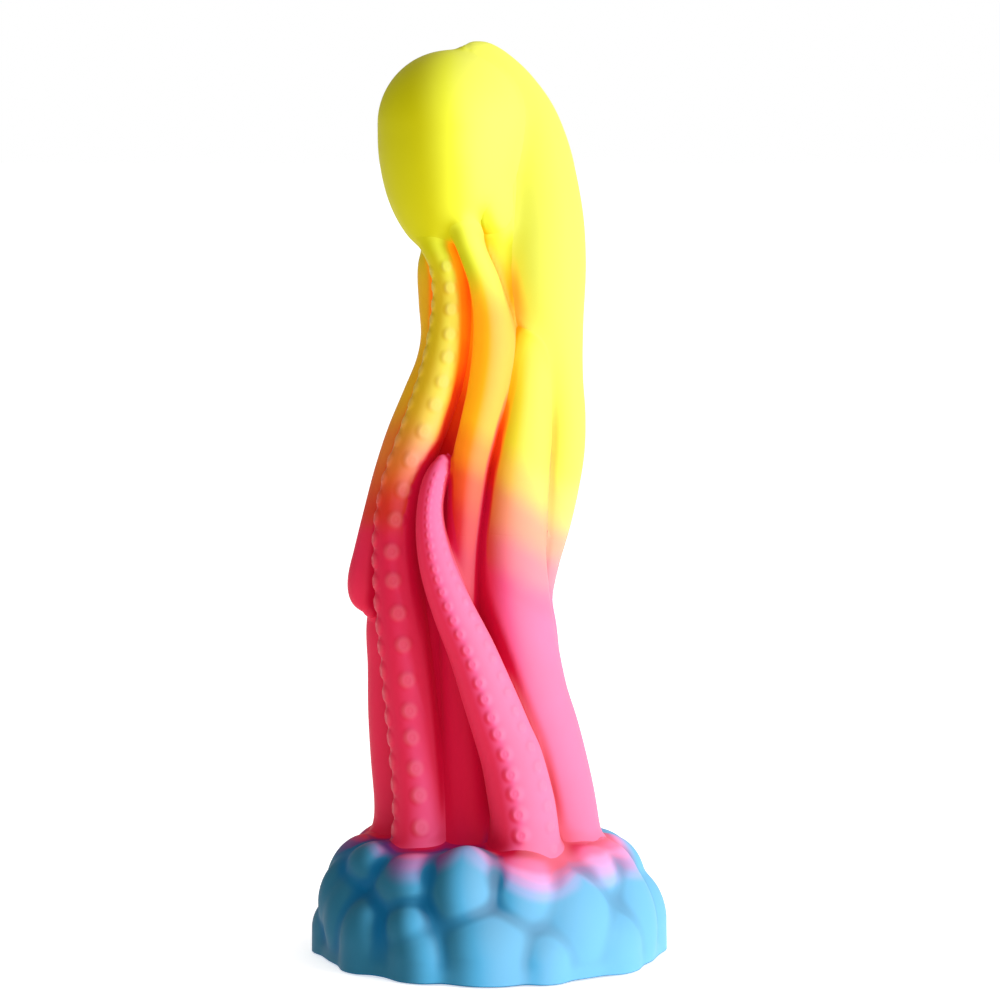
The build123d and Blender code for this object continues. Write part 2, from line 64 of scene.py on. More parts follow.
# Pebbles: group, azimuth from the front towards +X (degrees), height, outer radius, half-width, half-height, half-depth, lean (degrees)
PEBBLES = [
 ("front_pebbles", -11, 22.3, 36.6, 7.9, 9.8, 6.5, 24), ("front_pebbles", -37.5, 22.6, 36.0, 8.4, 7.4, 6.5, 30),
 ("left_pebbles", -62.5, 24.8, 35.8, 6.8, 6.0, 6.0, 28), ("left_pebbles", -66, 12.6, 41.6, 6.6, 9.4, 6.0, 12),
 ("left_pebbles", -51, 8.2, 42.5, 6.6, 8.8, 6.0, 6), ("front_pebbles", -30.6, 12.4, 40.6, 5.8, 6.0, 5.5, 12),
 ("front_pebbles", -25.6, 5.4, 42.4, 7.2, 6.6, 5.5, 4), ("front_pebbles", -1, 7.6, 42.2, 10.2, 9.2, 7.0, 8),
 ("front_pebbles", 14.7, 21.0, 36.6, 8.0, 9.4, 6.5, 24), ("right_pebbles", 34.4, 14.2, 40.2, 9.0, 11.2, 7.0, 17),
 ("front_pebbles", 19.4, 5.2, 42.4, 6.0, 6.4, 5.5, 4), ("right_pebbles", 54, 23.4, 34.4, 6.6, 7.0, 6.0, 30),
 ("right_pebbles", 71, 22.6, 35.4, 5.8, 7.6, 6.0, 28), ("right_pebbles", 67, 12.0, 41.4, 7.2, 11.6, 6.0, 12),
 ("right_pebbles", 51, 6.2, 42.4, 7.4, 7.6, 6.0, 5),
 ("right_pebbles", 91, 9.0, 41.9, 8.6, 10.0, 6.0, 8), ("right_pebbles", 90, 22.4, 35.4, 7.0, 7.6, 6.0, 28),
 ("rear_pebbles", 113, 20.0, 37.2, 8.4, 9.0, 6.5, 24), ("rear_pebbles", 112, 6.4, 42.3, 7.2, 7.4, 6.0, 4),
 ("rear_pebbles", 133, 11.0, 41.2, 8.8, 9.6, 6.5, 12), ("rear_pebbles", 139, 24.0, 34.2, 7.2, 6.8, 6.0, 30),
 ("rear_pebbles", 155, 6.6, 42.3, 7.8, 7.6, 6.0, 4), ("rear_pebbles", 163, 20.0, 37.2, 8.6, 9.0, 6.5, 24),
 ("rear_pebbles", 181, 8.4, 42.0, 8.8, 9.2, 6.5, 6), ("rear_pebbles", 187, 23.4, 34.8, 7.2, 7.0, 6.0, 30),
 ("rear_pebbles", 204, 13.0, 40.8, 8.4, 9.2, 6.5, 14), ("rear_pebbles", 219, 5.4, 42.4, 7.0, 6.6, 5.5, 4),
 ("rear_pebbles", 213, 24.2, 34.0, 7.0, 6.6, 6.0, 30), ("rear_pebbles", 232, 16.0, 39.2, 8.6, 9.8, 6.5, 18),
 ("left_pebbles", 251, 7.6, 42.2, 8.2, 8.6, 6.0, 6), ("left_pebbles", 250, 23.8, 34.4, 7.0, 7.4, 6.0, 30),
 ("left_pebbles", 272, 20.4, 38.2, 7.6, 8.8, 6.0, 20), ("left_pebbles", 273, 6.2, 42.4, 7.2, 6.8, 5.5, 4),
 ("left_pebbles", 284, 16.2, 41.2, 6.8, 8.8, 6.0, 14),
]
FOOT_R, FOOT_H = 39.9, 3.0
SPLIT_Z = 101.0                      # rigid middle of the stem, where long arms change from one skin to the next


# ------------------------------------------------------------------ curves
def spline(stations, step):
    """Points and radii along a smooth curve through the stations, about step apart."""
    S = np.array(stations, float)
    t = np.concatenate([[0], np.cumsum(np.linalg.norm(np.diff(S[:, :3], axis=0), axis=1))])
    m = np.empty_like(S)
    m[1:-1] = (S[2:] - S[:-2]) / (t[2:] - t[:-2])[:, None]
    m[0], m[-1] = (S[1] - S[0]) / (t[1] - t[0]), (S[-1] - S[-2]) / (t[-1] - t[-2])
    n = max(int(round(t[-1] / step)), 2)
    u = np.linspace(0, t[-1], n + 1)
    k = np.clip(np.searchsorted(t, u, side="right") - 1, 0, len(t) - 2)
    h = (t[k + 1] - t[k])[:, None]
    s = (u - t[k])[:, None] / h
    return ((2 * s**3 - 3 * s**2 + 1) * S[k] + (s**3 - 2 * s**2 + s) * h * m[k]
            + (-2 * s**3 + 3 * s**2) * S[k + 1] + (s**3 - s**2) * h * m[k + 1])


def smooth(a, b, x):
    t = np.clip((x - a) / (b - a), 0, 1)
    return t * t * (3 - 2 * t)


# ------------------------------------------------------------------ distance field
CHAINS = {name: spline(st, 2.0) for name, st in ARMS.items()}
CHAINS["core"] = spline(CORE, 4.0)
CHAINS["mantle"] = spline(MANTLE, 1.2)
CHAINS["siphon"] = spline(SIPHON, 1.2)


def stone_frame(p):
    _, az, z, rad, ht, hz, hr, lean = p
    a, l = math.radians(az), math.radians(lean)
    out = np.array([math.sin(a), -math.cos(a), 0.0])
    tang = np.array([math.cos(a), math.sin(a), 0.0])
    up = np.array([0, 0, 1.0]) * math.cos(l) - out * math.sin(l)
    outward = out * math.cos(l) + np.array([0, 0, 1.0]) * math.sin(l)
    ht, hz, hr = ht * 1.16, hz * 1.13, hr * 1.25
    centre = out * rad + np.array([0, 0, z]) - outward * hr
    return centre, np.stack([tang, outward, up], axis=1), np.array([ht, hr, hz])


STONES = [stone_frame(p) for p in PEBBLES]
SUCKERS = {}            # arm -> rows of x, y, z, radius, height, dimple


def sucker_relief(P, discs, pit_share=1.0):
    h = np.zeros(len(P))
    for x, y, z, r, high, dimple in discs:
        near = np.nonzero(np.abs(P[:, 2] - z) < r * 1.3)[0]
        if not len(near):
            continue
        d = np.linalg.norm(P[near] - (x, y, z), axis=1) / r
        rise = 1 - smooth(0.30, 1.15, d)
        pit = dimple * np.exp(-((d - 0.28) / 0.16) ** 2) * pit_share
        h[near] = np.maximum(h[near], high * (rise - pit))
    return h


def chain_distance(P, chain):
    best = np.full(len(P), 50.0)
    for a, b in zip(chain[:-1], chain[1:]):
        ab = b[:3] - a[:3]
        qx, qy, qz = P[:, 0] - a[0], P[:, 1] - a[1], P[:, 2] - a[2]
        t = np.clip((qx * ab[0] + qy * ab[1] + qz * ab[2]) / (ab @ ab), 0, 1)
        qx -= t * ab[0]
        qy -= t * ab[1]
        qz -= t * ab[2]
        d = np.sqrt(qx * qx + qy * qy + qz * qz) - (a[3] + t * (b[3] - a[3]))
        np.minimum(best, d, out=best)
    return best


def foot_distance(Q):
    rho = np.hypot(Q[:, 0], Q[:, 1])
    q0, q1 = rho - (FOOT_R - 1.2), np.abs(Q[:, 2] - FOOT_H / 2) - (FOOT_H / 2 - 1.2)
    return np.hypot(np.maximum(q0, 0), np.maximum(q1, 0)) + np.minimum(np.maximum(q0, q1), 0) - 1.2


SKIRT = [(40.9, -2.0), (40.7, 4.0), (39.3, 9.0), (37.3, 14.9), (33.2, 20.4), (29.0, 25.6), (22.0, 27.8)]      # radius and height of the ground between the pebbles


def mound_distance(Q):
    rho = np.hypot(Q[:, 0], Q[:, 1])
    sides = [Q[:, 2] - 27.8]
    for (r0, z0), (r1, z1) in zip(SKIRT[:-1], SKIRT[1:]):
        n = math.hypot(r1 - r0, z1 - z0)
        sides.append(((rho - r0) * (z1 - z0) - (Q[:, 2] - z0) * (r1 - r0)) / n)
    return 0.7 * np.log(np.exp(np.stack(sides) / 0.7).sum(0))


def stone_distance(Q, i):
    c, R, h = STONES[i]
    if c[2] < 9.5:                 # lowest row: straight down to the foot
        Q = np.stack([Q[:, 0], Q[:, 1], np.maximum(Q[:, 2], c[2])], 1)
    q = (Q - c) @ R
    k0 = np.linalg.norm(q / h, axis=1)
    k1 = np.linalg.norm(q / h**2, axis=1) + 1e-9
    return k0 * (k0 - 1) / k1


def softness(Q):
    """Size of the soft joins between features: wide in the rock base, at the right and under the mantle, tight at the left of the stem."""
    x, z = Q[:, 0], Q[:, 2]
    joins = 0.7 * np.exp(-((x - 1) / 5) ** 2 - ((z - 173) / 6) ** 2) + 0.8 * np.exp(-((x - 9) / 6) ** 2 - ((z - 148) / 8) ** 2)
    return joins + 0.55 + 0.15 * (1 - smooth(28, 42, z)) + 0.55 * smooth(21, 27, z) * (1 - smooth(30, 40, z)) + 0.45 * smooth(158, 178, z) + 0.35 * smooth(-2, 10, x) * smooth(30, 60, z)


def evaluate(P, own=None, d_own=None, margin=5.0):
    """Soft union of all features at each point, the distance to the point's own feature, and to the nearest other one."""
    F = np.full(len(P), margin)
    mine = np.full(len(P), margin)
    other = np.full(len(P), margin)
    order = np.argsort(P[:, 2], kind="stable")
    zs = P[order, 2]
    slab = 5.0
    edges = np.arange(math.floor(zs[0] / slab) * slab, zs[-1] + slab + 0.1, slab)
    cuts = np.searchsorted(zs, edges)
    for lo, hi, z0 in zip(cuts[:-1], cuts[1:], edges[:-1]):
        if hi <= lo:
            continue
        ids = order[lo:hi]
        Q = P[ids]
        z1 = z0 + slab
        found = []
        for name, chain in CHAINS.items():
            if name == own and d_own is not None:
                continue
            reach = chain[:, 3] + margin
            keep = np.nonzero((chain[:, 2] + reach > z0) & (chain[:, 2] - reach < z1))[0]
            if len(keep) < 2:
                continue
            found.append((name, chain_distance(Q, chain[keep[0]:keep[-1] + 1])))
        if z0 < 40:
            found.append(("foot", foot_distance(Q)))
            found.append(("mound", mound_distance(Q)))
            for i, (c, R, h) in enumerate(STONES):
                top = h.max() + margin
                if c[2] - top > z1 or c[2] + top < z0:
                    continue
                found.append((f"pebble_{i}", stone_distance(Q, i)))
        if d_own is not None:
            found.append((own, d_own[ids]))
        if not found:
            continue
        D = np.stack([f[1] for f in found])
        low = D.min(0)
        K = softness(Q)
        F[ids] = np.minimum(low - K * np.log(np.exp(-np.minimum(D - low, 20 * K) / K).sum(0)), margin)
        is_own = np.array([f[0] == own or (own == "base" and f[0].startswith(("foot", "mound", "pebble_"))) for f in found])
        if is_own.any():
            mine[ids] = D[is_own].min(0)
        if (~is_own).any():
            other[ids] = D[~is_own].min(0)
    return F, mine, other


# ------------------------------------------------------------------ suckers, laid on the arms by marching onto their faces
def on_arm(name, x, z, toward=(0.0, -1.0)):
    chain = CHAINS[name]
    u = np.array([toward[0], toward[1], 0.0])
    u /= np.linalg.norm(u)
    p = np.array([x, 0.0, z]) + u * 45
    for _ in range(60):
        d = chain_distance(p[None], chain)[0]
        if d < 0.005:
            break
        p = p - u * d
    return p


FACE = [(-9.96, 162.9, 1.7), (-9.27, 157.9, 1.75), (-9.03, 152.9, 1.8), (-9.25, 147.2, 1.9), (-9.7, 141.9, 1.95), (-10.9, 136.2, 2.0),
        (-12.6, 130.9, 2.1), (-15.2, 124.7, 2.2), (-18.3, 118.0, 2.3), (-20.0, 111.0, 2.35), (-21.9, 104.2, 2.4), (-22.8, 96.8, 2.4),
        (-22.5, 90.1, 2.4), (-21.3, 82.6, 2.4), (-20.1, 75.2, 2.4), (-19.2, 67.0, 2.45), (-18.7, 59.8, 2.45), (-18.2, 53.5, 2.45),
        (-17.3, 46.3, 2.5), (-16.5, 40.0, 2.5), (-16.1, 32.5, 2.5)]
discs = []
arm = spline(ARMS["sucker_arm"], 0.5)
for x, z, r in FACE:
    p = on_arm("sucker_arm", x, z)
    discs.append((p[0], p[1], p[2], r, 0.50 - 0.18 * float(smooth(95, 125, z)), 0.35))
z = 31.0
while z < 163:
    k = int(np.argmin(np.abs(arm[:, 2] - z)))
    c, r = arm[k, :3], arm[k, 3]
    a = math.radians(200 if z > 120 else 196)
    size = 1.6 + 0.75 * float(smooth(165, 60, np.array(z)))
    p = c + r * np.array([math.cos(a), math.sin(a), 0])
    discs.append((p[0], p[1], p[2], size, 0.75 - 0.35 * float(smooth(95, 135, z)), 0.4))
    z += size * 2.28
SUCKERS["sucker_arm"] = np.array(discs)

discs = []
arm = spline(ARMS["front_arm"], 0.5)
z, side = 27.0, 0
while z < 115.5:
    k = int(np.argmin(np.abs(arm[:, 2] - z)))
    c, r = arm[k, :3], arm[k, 3]
    for turn, share in ((-97, 0.285), (-42, 0.23)):
        a = math.radians(turn)
        p = c + r * np.array([math.cos(a), math.sin(a), 0])
        size = max(r * share, 0.42)
        discs.append((p[0], p[1], p[2] + (0 if turn == -97 else size * 0.9), size, 0.17 * size + 0.08, 0.5))
    z += max(r * 0.285, 0.42) * 2.22
SUCKERS["front_arm"] = np.array(discs)


# ------------------------------------------------------------------ meshes
def settle(O, N, rho0, own, reach=1.7, steps=4, exact=False):
    """Moves points along their rays onto the soft union, and sinks them gently where another feature lies on top.
    exact is for rays square to their own feature's surface, whose distance is then known without measuring."""
    rho = rho0.copy()
    for i in range(steps + 1):
        P = O + N * rho[:, None]
        d = None
        if exact:
            d = rho - rho0
            if own in SUCKERS:
                d = d - sucker_relief(P, SUCKERS[own])
        F, mine, other = evaluate(P, own, d)
        if i < steps:
            rho = np.clip(rho - 0.9 * F, rho0 - 1.0, rho0 + reach)
    sink = np.clip(0.16 * np.maximum(mine - other, 0) ** 2, 0, 3.0)
    rho = np.maximum(rho - sink, rho0 * 0.35)
    return O + N * rho[:, None], rho


def tube(name, z_from=None, z_to=None, around=96, step=0.45):
    """A closed limb with round ends; ends cut at z_from or z_to lie under the next skin."""
    C = spline(ARMS[name] if name in ARMS else {"core": CORE, "siphon": SIPHON}[name], step)
    T = np.gradient(C[:, :3], axis=0)
    T /= np.linalg.norm(T, axis=1)[:, None]
    n1 = np.zeros_like(T)
    v = np.array([0, -1.0, 0]) - T[0] * T[0] @ np.array([0, -1.0, 0])
    n1[0] = v / np.linalg.norm(v)
    for i in range(1, len(T)):
        v = n1[i - 1] - T[i] * (n1[i - 1] @ T[i])
        n1[i] = v / np.linalg.norm(v)
    n2 = np.cross(T, n1)
    k0 = 0 if z_from is None else int(np.argmin(np.abs(C[:, 2] - z_from)))
    k1 = len(C) - 1 if z_to is None else int(np.argmin(np.abs(C[:, 2] - z_to)))
    th = np.linspace(0, 2 * math.pi, around, endpoint=False)
    ks = np.arange(k0, k1 + 1)
    ring = np.cos(th)[None, :, None] * n1[ks][:, None] + np.sin(th)[None, :, None] * n2[ks][:, None]
    O = np.repeat(C[ks, :3], around, axis=0)
    N = ring.reshape(-1, 3)
    rho0 = np.repeat(C[ks, 3], around)
    caps = 10
    P, rho = settle(O, N, rho0, name, exact=True)
    P = P.reshape(len(ks), around, 3)
    rho = rho.reshape(len(ks), around)
    rows = []

    def cap(k, ring_dirs, rho_ring, sign, tip):
        out = []
        for c in range(1, caps + 1):
            f = c / (caps + 0.5) * math.pi / 2
            d = ring_dirs * math.cos(f) + sign * T[k] * math.sin(f)
            base = rho_ring[:, None] * (1.0 if tip else 1 - 0.10 * math.sin(f) ** 2)
            out.append(C[k, :3] + d * base)
        return out
    low = cap(k0, ring[0], rho[0], -1, z_from is None)
    high = cap(k1, ring[-1], rho[-1], +1, z_to is None)
    rows = low[::-1] + [P[i] for i in range(len(ks))] + high
    V = np.concatenate(rows)
    bottom = C[k0, :3] - T[k0] * rho[0].mean() * (1.0 if z_from is None else 0.9)
    top = C[k1, :3] + T[k1] * rho[-1].mean() * (1.0 if z_to is None else 0.9)
    n = len(rows)
    V = np.concatenate([V, bottom[None], top[None]])
    j = np.arange(around)
    jn = (j + 1) % around
    quads = np.concatenate([np.stack([i * around + j, i * around + jn, (i + 1) * around + jn, (i + 1) * around + j], 1) for i in range(n - 1)])
    tris = np.concatenate([np.stack([np.full(around, n * around), jn, j], 1),
                           np.stack([np.full(around, n * around + 1), (n - 1) * around + j, (n - 1) * around + jn], 1)])
    return V, quads, tris


def ball_directions(rows, around):
    dirs = []
    for i in range(1, rows):
        f = math.pi * i / rows
        th = np.linspace(0, 2 * math.pi, around, endpoint=False)
        dirs.append(np.stack([np.sin(f) * np.cos(th), np.sin(f) * np.sin(th), np.full(around, math.cos(f))], 1))
    D = np.concatenate(dirs + [np.array([[0, 0, 1.0]]), np.array([[0, 0, -1.0]])])
    j = np.arange(around)
    jn = (j + 1) % around
    m = rows - 1
    quads = np.concatenate([np.stack([i * around + j, (i + 1) * around + j, (i + 1) * around + jn, i * around + jn], 1) for i in range(m - 1)])
    tris = np.concatenate([np.stack([np.full(around, m * around), j, jn], 1),
                           np.stack([np.full(around, m * around + 1), (m - 1) * around + jn, (m - 1) * around + j], 1)])
    return D, quads, tris


def own_radius(centre, N, measure, start, far):
    """Where rays from the centre leave their own feature."""
    rho = np.full(len(N), float(start))
    for _ in range(16):
        rho = np.clip(rho - measure(centre + N * rho[:, None]) * 0.9, 0.3, far)
    return rho


def build(name, parts, tone=0.0):
    """One object from closed shells."""
    verts, faces, base = [], [], 0
    loops, starts, totals = [], [], []
    for V, quads, tris in parts:
        verts.append(V)
        for F in (quads, tris):
            if len(F):
                loops.append((F + base).ravel())
                totals.append(np.full(len(F), F.shape[1]))
        base += len(V)
    V = np.concatenate(verts)
    loops = np.concatenate(loops)
    totals = np.concatenate(totals)
    me = bpy.data.meshes.new(name)
    me.vertices.add(len(V))
    me.vertices.foreach_set("co", (V * MM).astype(np.float32).ravel())
    me.loops.add(len(loops))
    me.loops.foreach_set("vertex_index", loops.astype(np.int32))
    me.polygons.add(len(totals))
    me.polygons.foreach_set("loop_start", np.concatenate([[0], np.cumsum(totals)[:-1]]).astype(np.int32))
    me.polygons.foreach_set("loop_total", totals.astype(np.int32))
    me.polygons.foreach_set("use_smooth", np.ones(len(totals), bool))
    me.update(calc_edges=True)
    me.validate()
    ob = bpy.data.objects.new(name, me)
    bpy.context.scene.collection.objects.link(ob)
    return ob, V


# ------------------------------------------------------------------ painted shade map: a coarse grid of the field, sampled for the painted crease shade and the painted lamp shadow
GRID = 2.0
GX = np.arange(-54, 54.1, GRID)
GZ = np.arange(-10, 228.1, GRID)
gx, gy, gz = np.meshgrid(GX, GX, GZ, indexing="ij")
grid = evaluate(np.stack([gx.ravel(), gy.ravel(), gz.ravel()], 1), margin=11.0)[0].reshape(gx.shape)


def sample(P):
    ix = np.clip((P[:, 0] - GX[0]) / GRID, 0, len(GX) - 1.001)
    iy = np.clip((P[:, 1] - GX[0]) / GRID, 0, len(GX) - 1.001)
    iz = np.clip((P[:, 2] - GZ[0]) / GRID, 0, len(GZ) - 1.001)
    x0, y0, z0 = ix.astype(int), iy.astype(int), iz.astype(int)
    fx, fy, fz = ix - x0, iy - y0, iz - z0
    out = 0
    for dx in (0, 1):
        for dy in (0, 1):
            for dz in (0, 1):
                w = (fx if dx else 1 - fx) * (fy if dy else 1 - fy) * (fz if dz else 1 - fz)
                out = out + w * grid[x0 + dx, y0 + dy, z0 + dz]
    return out


def crease_shade(V, N):
    occ = np.zeros(len(V))
    total = 0
    # painted crease shade: how much of the field closes in around the point
    for h, w in ((1.5, 1.0), (3.0, 1.0), (5.0, 0.9), (8.0, 0.7), (12.0, 0.45)):
        occ += w * np.clip((h - sample(V + N * h)) / h, 0, 1)
        total += w
    return occ / total


def fine_crease_shade(V, N):
    occ = 0
    # finer painted crease shade, from the exact field
    for h, w in ((2.0, 1.0), (3.5, 1.0), (5.5, 0.8)):
        occ = occ + w * np.clip((h - evaluate(V + N * h, margin=h * 1.01)[0]) / h, 0, 1)
    return occ / 2.8


def wobble(P, scale, seed):
    """Smooth sum of sines, in -1..1."""
    rng = np.random.RandomState(seed)
    out = np.zeros(len(P))
    for _ in range(7):
        k = rng.normal(size=3)
        k *= rng.uniform(0.6, 1.5) / np.linalg.norm(k) / scale * 2 * math.pi
        out += np.sin(P @ k + rng.uniform(0, 6.28))
    return out / 4.0


SPILLS = [(-19.5, -29, 27, 10.0, 13.0), (10.5, -30, 25, 12.0, 17.0), (25.5, -20, 26, 10.0, 16.0), (30.5, -12, 23, 9.0, 15.0), (-31, -3, 29, 9.0, 12.0),
          (-8, 31, 27, 10.0, 13.0), (21, 25, 27, 10.0, 14.0), (-27, 17, 27, 9.0, 13.0)]


WARM = {"slim_arm": 0.06, "broad_arm": 0.06, "core": 0.10, "left_arm": 0.22, "sucker_arm": 0.18, "rear_left_arm": 0.18}
# painted shade for recessed arms, mixed into the crease shade attribute
RECESS_SHADE = {"slim_arm": (0.74, 0.66, 150, 172), "core": (0.70, 0.56, 150, 176), "left_arm": (0.2, 0.3, 156, 174), "rear_left_arm": (0.2, 0.25, 156, 174),
        "rear_arm": (0.25, 0.25, 156, 174), "broad_arm": (0.10, 0.36, 140, 156), "sucker_arm": (0.36, 0.50, 108, 134)}     # low, high, heights where it fades
# per arm, how far the painted light is lifted towards the lit colour
PAINTED_LIGHT_LIFT = {"crest_arm": 0.75, "broad_arm": 0.20, "slim_arm": 0.20}


def colour_state(V, occ, arm=None, near_arm=None):
    """0 is yellow, 1 is pink, 2 is blue."""
    x, z = V[:, 0], V[:, 2]
    # painted crease shade: in the folds the pink edge rises
    edge = 98.5 + 16.0 * (1 - smooth(-18, 20, x)) + 1.3 * wobble(V, 26, 3) + 16.0 * smooth(0.35, 0.8, occ)
    pink = np.clip(0.5 - (z - edge) / 38.0, 0, 1)
    warm = WARM.get(arm, 0.0) * smooth(174, 156, z)
    pink = np.maximum(pink, 0) + warm * (1 - pink) * (1 - smooth(0.4, 0.9, pink))
    if arm == "front_arm":
        pink = np.ones(len(V))
    away = 1.0 if near_arm is None else smooth(1.0, 7.0, near_arm)
    # painted crease shade: the recesses of the base turn bluer
    low = (38.0 if arm in ("base", None) else 25.0) + 1.6 * wobble(V, 16, 5) + 5.0 * smooth(0.45, 0.85, occ) * away
    spill = np.zeros(len(V))
    for sx, sy, sz, sr, depth in SPILLS:
        d = np.sqrt((V[:, 0] - sx) ** 2 + (V[:, 1] - sy) ** 2 + ((z - sz) * 0.8) ** 2)
        spill = np.maximum(spill, depth * (1 - smooth(0, sr * 2.0, d)))
    if near_arm is not None:
        spill = spill + (10.5 + 3.5 * wobble(V, 24, 9)) * (1 - smooth(0.3, 9.0, near_arm))
        # painted crease shade: less pink run-over in the deepest folds
        spill = spill * (1 - 0.45 * smooth(0.45, 0.8, occ) * away)
    blue = 1 - smooth(-13.0, 12.0, z - low + spill)
    return pink * (1 - blue) + 2.0 * blue


# direction of the painted lamp, whose light and shadow are painted into the colour
PAINTED_LAMP = np.array([0.855, -0.42, 0.30])


def painted_lamp_light(V, N):
    """Painted light and shade from a fixed lamp, standing in for light soaking into the silicone: 0 where it is turned
    away from the lamp or in a painted shadow, 1 where it faces the lamp on the open side; darker towards the left.
    """
    clear = np.ones(len(V))
    for t in (3, 5, 8, 12, 17, 24, 32, 42):
        # painted cast shadow: the field is sampled on the way towards the lamp
        clear = np.minimum(clear, np.clip(0.5 + 3.0 * sample(V + N * 1.0 + PAINTED_LAMP * t) / t, 0, 1))
    face = smooth(-0.45, 0.75, N @ PAINTED_LAMP)
    # painted shade: darker where facing away from the lamp, and darker still towards the left
    return face * (0.30 + 0.70 * clear) * (1 - 0.30 * (1 - smooth(-26, 4, V[:, 0])))


def dress(ob, V, arm=None):
    me = ob.data
    N = np.empty(len(V) * 3, np.float32)
    me.vertices.foreach_get("normal", N)
    N = N.reshape(-1, 3)
    # crease occlusion, which the material turns into painted crease shade and a painted glow
    occ = crease_shade(V, N)
    if arm == "base":
        near_arm = evaluate(V, "base", margin=12.0)[2]
        # painted fold shade between the pebbles, stronger towards the left
        fold_shade = 1 - np.exp(-5.6 * fine_crease_shade(V, N))
        occ = np.clip(np.maximum(occ, fold_shade * (0.72 + 0.28 * (1 - smooth(-10, 24, V[:, 0])))), 0, 1)
    else:
        near_arm = None
        # less painted crease shade under the mantle
        occ = occ * (1 - 0.55 * smooth(158, 178, V[:, 2]))
    state = colour_state(V, occ, arm, near_arm)
    pale = np.zeros(len(V))
    if arm in SUCKERS:
        for x, y, z, r, high, dimple in SUCKERS[arm]:
            near = np.nonzero(np.abs(V[:, 2] - z) < r * 1.3)[0]
            d = np.linalg.norm(V[near] - (x, y, z), axis=1) / r
            disc = (1 - smooth(0.35, 1.15, d)) * (1 - 0.35 * np.exp(-((d - 0.30) / 0.14) ** 2))
            pale[near] = np.maximum(pale[near], disc * (1.0 if arm == "sucker_arm" else 0.5))
    # painted recess shade for this arm, fading out near the head
    low, high, z0, z1 = RECESS_SHADE.get(arm, (0.0, 0.0, 156, 174))
    recess_shade = (low + (high - low) * smooth(50, 105, V[:, 2])) * (1 - smooth(z0, z1, V[:, 2]))
    painted_light_lift = PAINTED_LIGHT_LIFT.get(arm, 0.0)
    # painted light and shade from the fixed lamp, stored as an attribute for the material; the mantle gets more
    # contrast
    painted_lit = painted_lamp_light(V, N)
    if arm is None:
        painted_lit = painted_lit ** 1.3
    # painted light on the rear is raised to an even floor
    painted_lit = np.maximum(painted_lit, 0.42 * smooth(0.0, 0.8, N[:, 1]))            # the rear is lit evenly
    for key, values in (("crease_shade", np.maximum(occ, recess_shade)), ("tone", state), ("painted_lit", painted_light_lift + (1 - painted_light_lift) * painted_lit), ("pale", pale)):
        a = me.attributes.new(key, "FLOAT", "POINT")
        a.data.foreach_set("value", values.astype(np.float32))
    me.materials.append(SILICONE)


